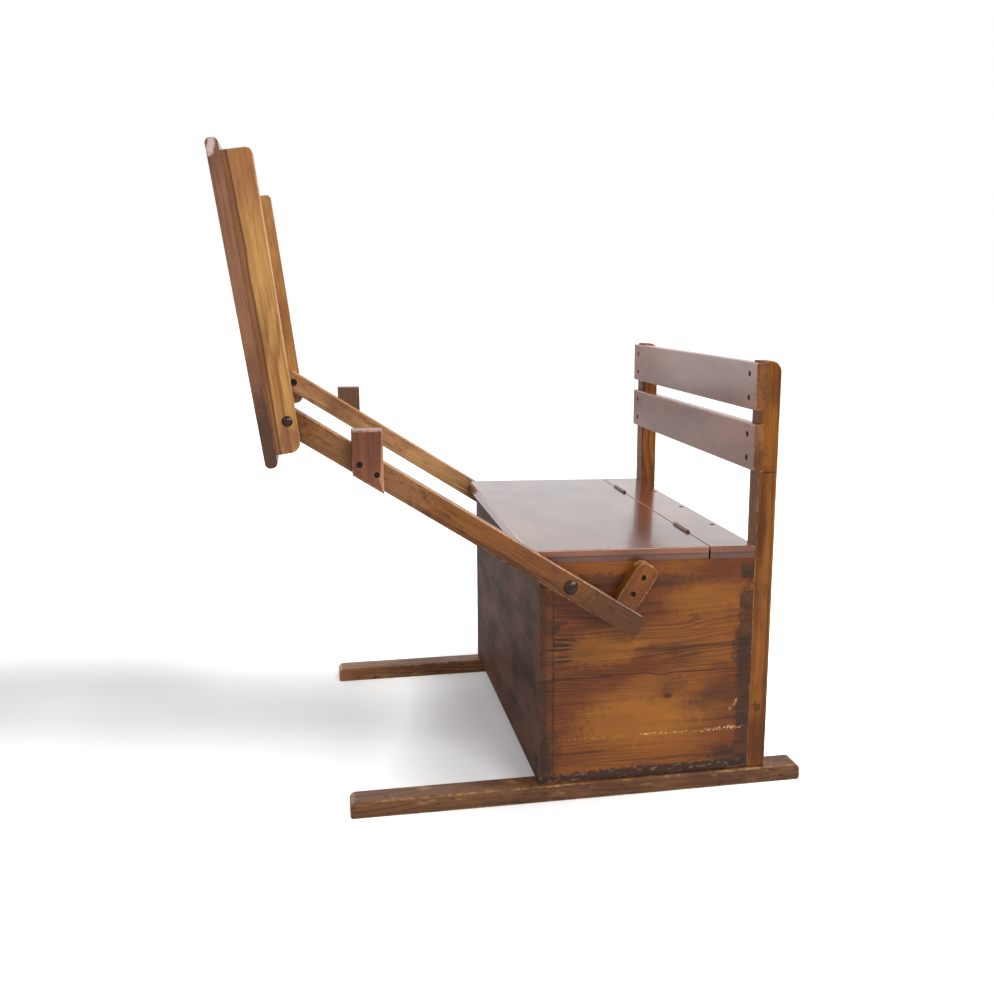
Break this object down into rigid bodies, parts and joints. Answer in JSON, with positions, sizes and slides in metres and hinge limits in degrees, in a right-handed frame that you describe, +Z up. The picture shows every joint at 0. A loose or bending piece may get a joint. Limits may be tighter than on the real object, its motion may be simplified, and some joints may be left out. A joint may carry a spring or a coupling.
{
  "type": "school seat and desk",
  "caption": "Child's wooden seat on sled runners: a storage box with a lift lid is the seat, and a tilting desk top swings in front of it on long arms.",
  "frame": {"origin": "on the floor, below the centre of the bounding box in the stored pose", "axes": "+Z up, -Y from the seat towards the desk top, +Y towards the backrest, X across the seat"},
  "size_m": [0.589, 0.7218, 0.8025],
  "materials": {
    "box_wood": "varnished pine, worn",
    "seat_wood": "glossy varnish",
    "runner_wood": "dark varnish, scuffed",
    "red_wood": "red-brown varnish",
    "desk_wood": "dark red-brown varnish",
    "golden_wood": "golden-brown varnish",
    "iron": "dark oiled steel"
  },
  "bodies": {
    "seat_frame": {"arm_bolt_left": "iron", "arm_bolt_nut_left": "iron", "arm_bolt_nut_right": "iron", "arm_bolt_right": "iron", "arm_washer_left": "iron", "arm_washer_right": "iron", "back_rail_lower": "red_wood", "back_rail_screws": "iron", "back_rail_upper": "red_wood", "box_back": "box_wood", "box_floor": "box_wood", "box_front": "box_wood", "box_side_left": "box_wood", "box_side_right": "box_wood", "hinge_leaves_strip": "iron", "hinge_pins": "iron", "post_left": "golden_wood", "post_right": "golden_wood", "runner_left": "runner_wood", "runner_right": "runner_wood", "seat_strip": "seat_wood", "seat_strip_screws": "iron", "stop_cleat_left": "golden_wood", "stop_cleat_right": "golden_wood", "stop_cleat_screws_left": "iron", "stop_cleat_screws_right": "iron"},
    "lid": {"seat_lid": "seat_wood", "hinge_leaves_lid": "iron"},
    "arms": {"arm_left": "golden_wood", "arm_right": "golden_wood", "desk_bolt_left": "iron", "desk_bolt_nut_left": "iron", "desk_bolt_nut_right": "iron", "desk_bolt_right": "iron", "rest_block_left": "red_wood", "rest_block_right": "red_wood", "rest_block_screws_left": "iron", "rest_block_screws_right": "iron"},
    "desk_top": {"desk_board": "desk_wood", "desk_board_screws": "iron", "desk_cheek_left": "golden_wood", "desk_cheek_right": "golden_wood"}
  },
  "joints": [
    {"name": "seat_lid_hinge", "type": "hinge", "parent": "seat_frame", "child": "lid", "pos_m": [0, 0.22591, 0.32658], "axis": [-1, 0, 0], "range_deg": [0, 102]},
    {"name": "arm_swing", "type": "hinge", "parent": "seat_frame", "child": "arms", "pos_m": [0, 0.04091, 0.288], "axis": [-1, 0, 0], "range_deg": [0, 50]},
    {"name": "desk_tilt", "type": "hinge", "parent": "arms", "child": "desk_top", "pos_m": [0, -0.28911, 0.50231], "axis": [-1, 0, 0], "range_deg": [0, 97.6]}
  ]
}
